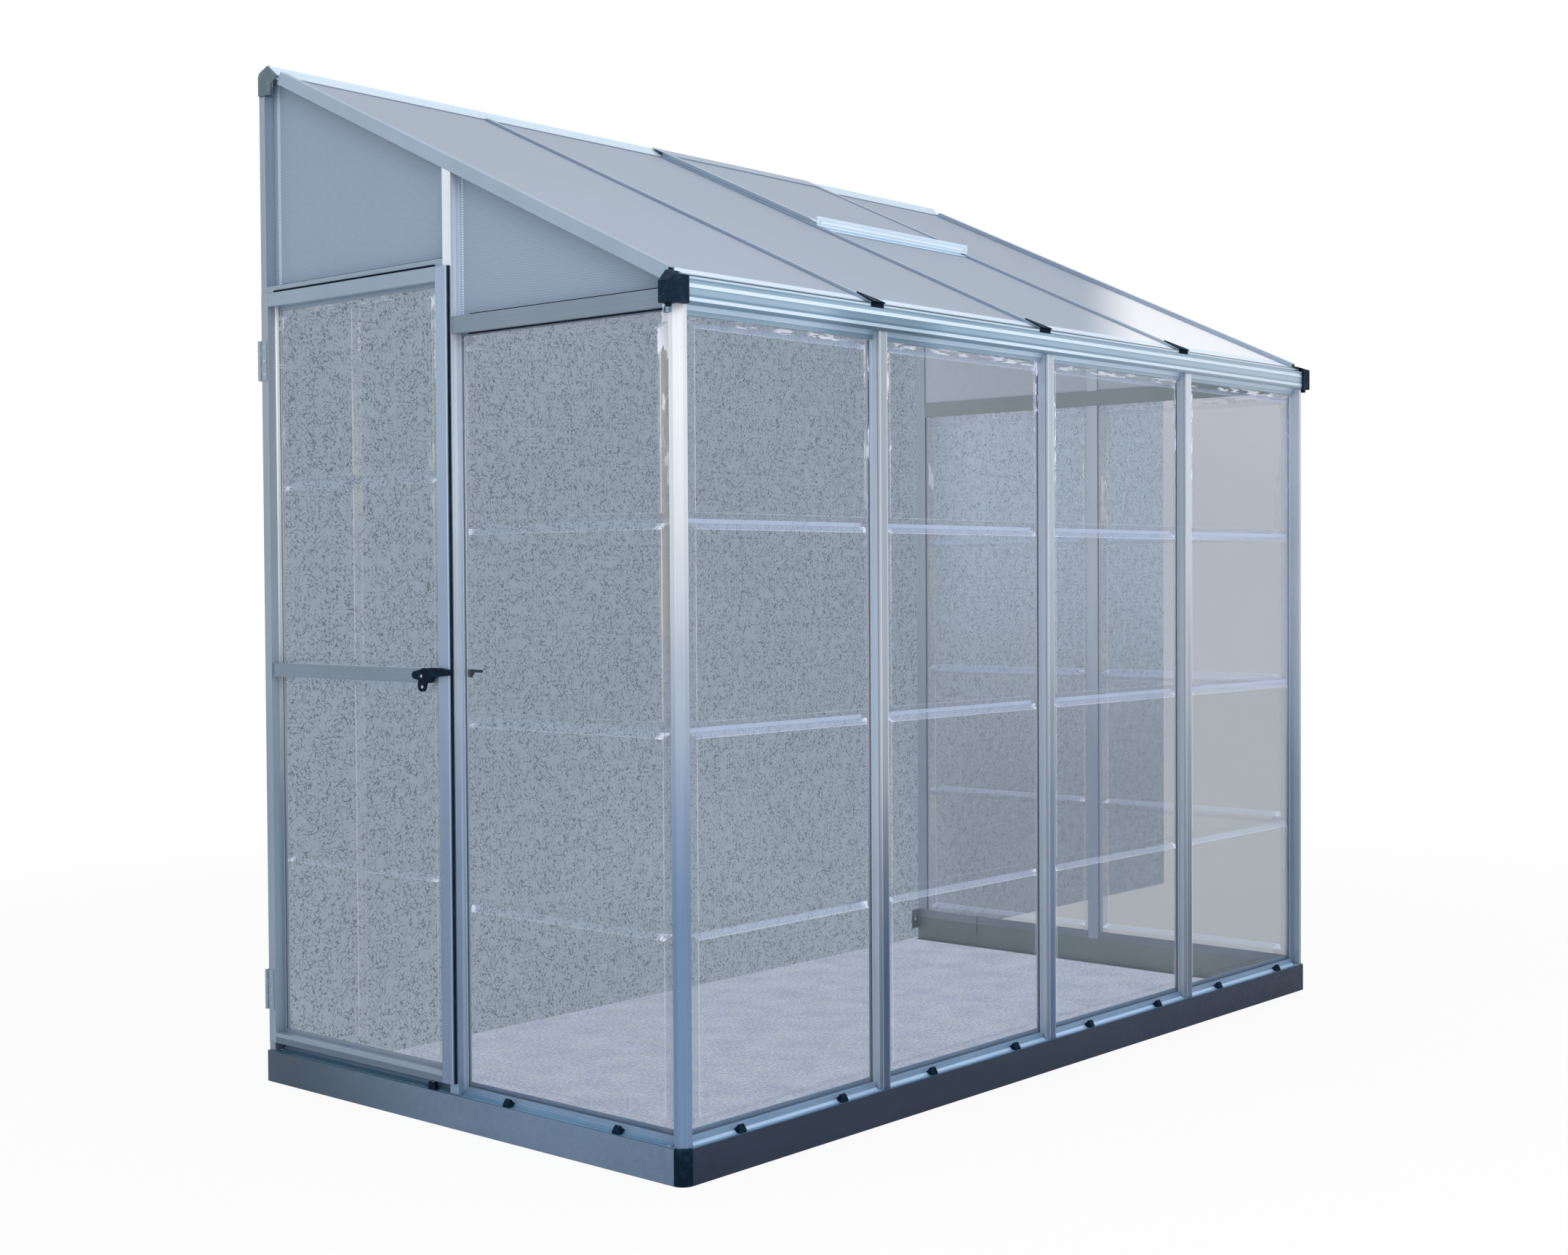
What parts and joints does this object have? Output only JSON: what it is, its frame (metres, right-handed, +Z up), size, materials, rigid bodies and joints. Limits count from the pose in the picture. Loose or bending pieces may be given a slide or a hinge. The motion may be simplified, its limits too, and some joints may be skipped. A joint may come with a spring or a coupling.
{
  "type": "lean-to greenhouse",
  "caption": "Lean-to greenhouse with an aluminium frame, galvanised base, clear pressed wall panels, twin-wall roof, hinged side door and roof vent.",
  "frame": {"origin": "on the ground under the middle of the greenhouse's bounding box", "axes": "+X runs right along the front wall, +Y runs back to the house wall, +Z is up"},
  "size_m": [2.46, 1.296, 2.2524],
  "materials": {
    "galvanised": "galvanised steel, satin",
    "black_plastic": "moulded black plastic, satin",
    "grey_plastic": "moulded grey plastic, matte",
    "aluminium": "extruded aluminium, satin mill finish",
    "twin_wall": "translucent twin-wall polycarbonate with fine flutes",
    "clear_panel": "clear pressed acrylic sheet, glossy"
  },
  "bodies": {
    "frame": {"base_front": "galvanised", "base_left": "galvanised", "base_right": "galvanised", "base_corner_left": "black_plastic", "base_corner_right": "black_plastic", "gutter_cap_left": "black_plastic", "gutter_cap_right": "black_plastic", "rafter_clip_1": "black_plastic", "rafter_clip_2": "black_plastic", "rafter_clip_3": "black_plastic", "latch_keeper": "black_plastic", "door_bumper": "black_plastic", "ridge_cap_left": "grey_plastic", "ridge_cap_right": "grey_plastic", "corner_post_left": "aluminium", "corner_post_right": "aluminium", "middle_post_left": "aluminium", "middle_post_right": "aluminium", "wall_post_left": "aluminium", "wall_post_right": "aluminium", "mullion_1": "aluminium", "mullion_2": "aluminium", "mullion_3": "aluminium", "gutter": "aluminium", "rafter_1": "aluminium", "rafter_2": "aluminium", "rafter_3": "aluminium", "rake_left": "aluminium", "rake_right": "aluminium", "ridge": "aluminium", "door_header": "aluminium", "side_header_left": "aluminium", "side_header_right": "aluminium", "vent_sill": "aluminium", "roof_sheet_1": "twin_wall", "roof_sheet_2": "twin_wall", "roof_sheet_3": "twin_wall", "roof_sheet_4": "twin_wall", "gable_sheet_left_front": "twin_wall", "gable_sheet_left_rear": "twin_wall", "gable_sheet_right_front": "twin_wall", "gable_sheet_right_rear": "twin_wall", "front_panel_1": "clear_panel", "front_panel_2": "clear_panel", "front_panel_3": "clear_panel", "front_panel_4": "clear_panel", "side_panel_left": "clear_panel", "side_panel_right_front": "clear_panel", "side_panel_right_rear": "clear_panel"},
    "door": {"door_hinge_stile": "aluminium", "door_latch_stile": "aluminium", "door_top_rail": "aluminium", "door_middle_rail": "aluminium", "door_bottom_rail": "aluminium", "door_panel": "clear_panel"},
    "latch": {"latch_handle": "black_plastic"},
    "vent": {"vent_frame": "aluminium", "vent_bottom_bar": "aluminium", "vent_sheet": "twin_wall"},
    "stay": {"vent_stay": "aluminium"}
  },
  "joints": [
    {"name": "door_hinge", "type": "hinge", "parent": "frame", "child": "door", "pos_m": [-1.213, 0.644, 0.905], "axis": [0, 0, -1], "range_deg": [0, 90]},
    {"name": "latch_turn", "type": "hinge", "parent": "door", "child": "latch", "pos_m": [-1.21, 0.053, 0.92506], "axis": [1, 0, 0], "range_deg": [0, 90]},
    {"name": "vent_hinge", "type": "hinge", "parent": "frame", "child": "vent", "pos_m": [0.3025, 0.60999, 2.24748], "axis": [-1, 0, 0], "range_deg": [0, 30]},
    {"name": "stay_pivot", "type": "hinge", "parent": "vent", "child": "stay", "pos_m": [0.3025, 0.06465, 1.9805], "axis": [-1, 0, 0], "range_deg": [-16, 0]}
  ],
  "couplings": [
    {"joint": "stay_pivot", "follows": "vent_hinge", "ratio": -0.5}
  ]
}
